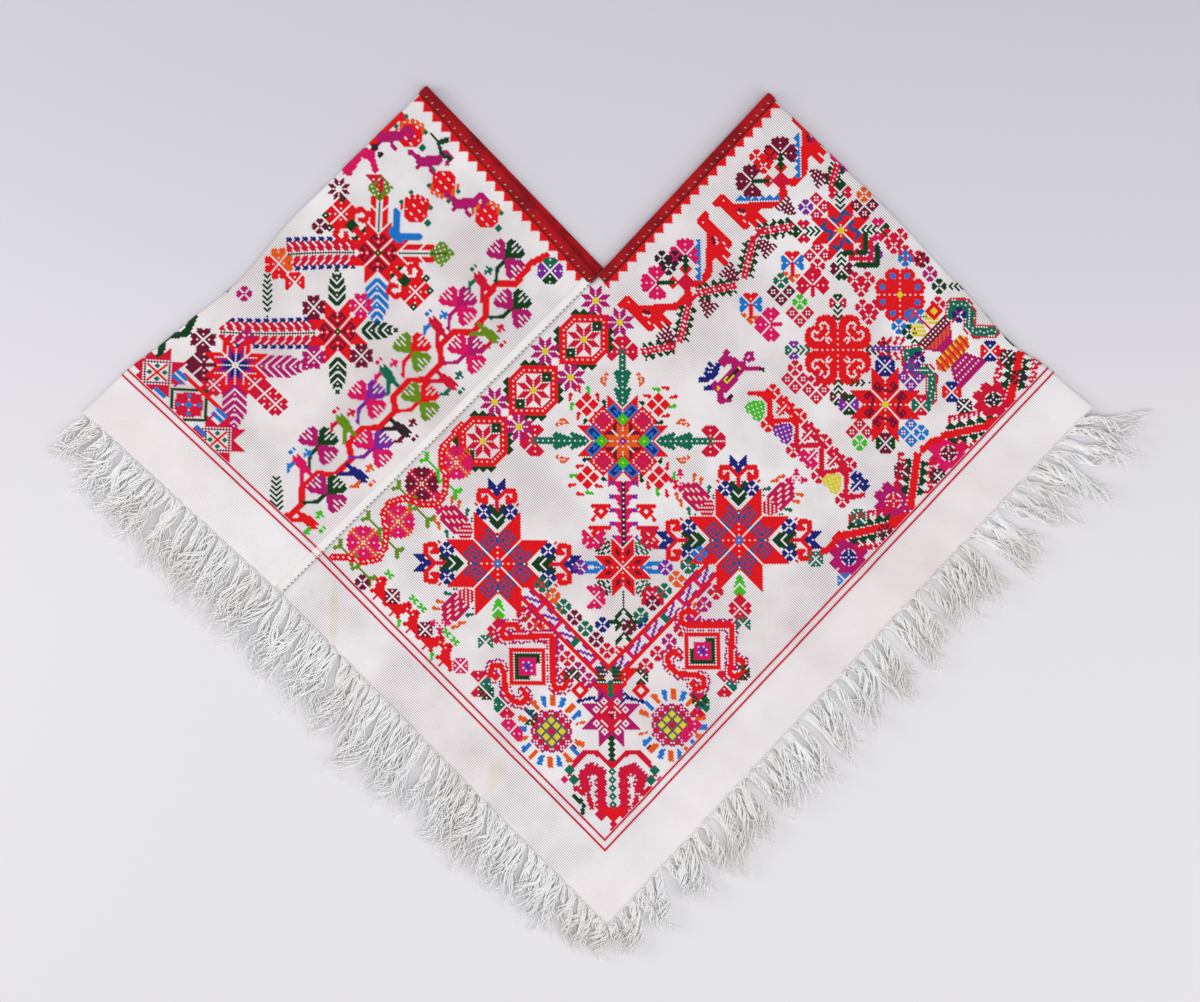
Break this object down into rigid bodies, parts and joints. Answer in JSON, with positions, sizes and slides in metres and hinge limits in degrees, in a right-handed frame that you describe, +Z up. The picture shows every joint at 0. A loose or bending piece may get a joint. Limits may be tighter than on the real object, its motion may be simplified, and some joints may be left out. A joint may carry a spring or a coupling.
{
  "type": "quechquemitl cape",
  "caption": "Cotton quechquemitl cape laid flat, front on back: a V neck with bound edges, rounded shoulder folds, embroidered panels and a fringed hem.",
  "frame": {"origin": "on the surface the cape lies on, under the middle of its box", "axes": "+X to the right of the front as seen from above, +Y towards the neck, +Z up out of the front"},
  "size_m": [0.9984, 0.7901, 0.009],
  "materials": {
    "cotton_cloth": "matt plain weave",
    "neck_tape": "soft twill tape",
    "cotton_fringe": "soft unravelled yarn",
    "embroidery_thread": "soft stranded thread"
  },
  "bodies": {
    "root": {"right_panel": "cotton_cloth", "left_panel": "cotton_cloth", "neck_binding_right": "neck_tape", "neck_binding_left": "neck_tape", "right_side_fringe": "cotton_fringe", "right_end_fringe": "cotton_fringe", "left_side_fringe": "cotton_fringe", "left_end_fringe": "cotton_fringe"}
  },
  "joints": []
}
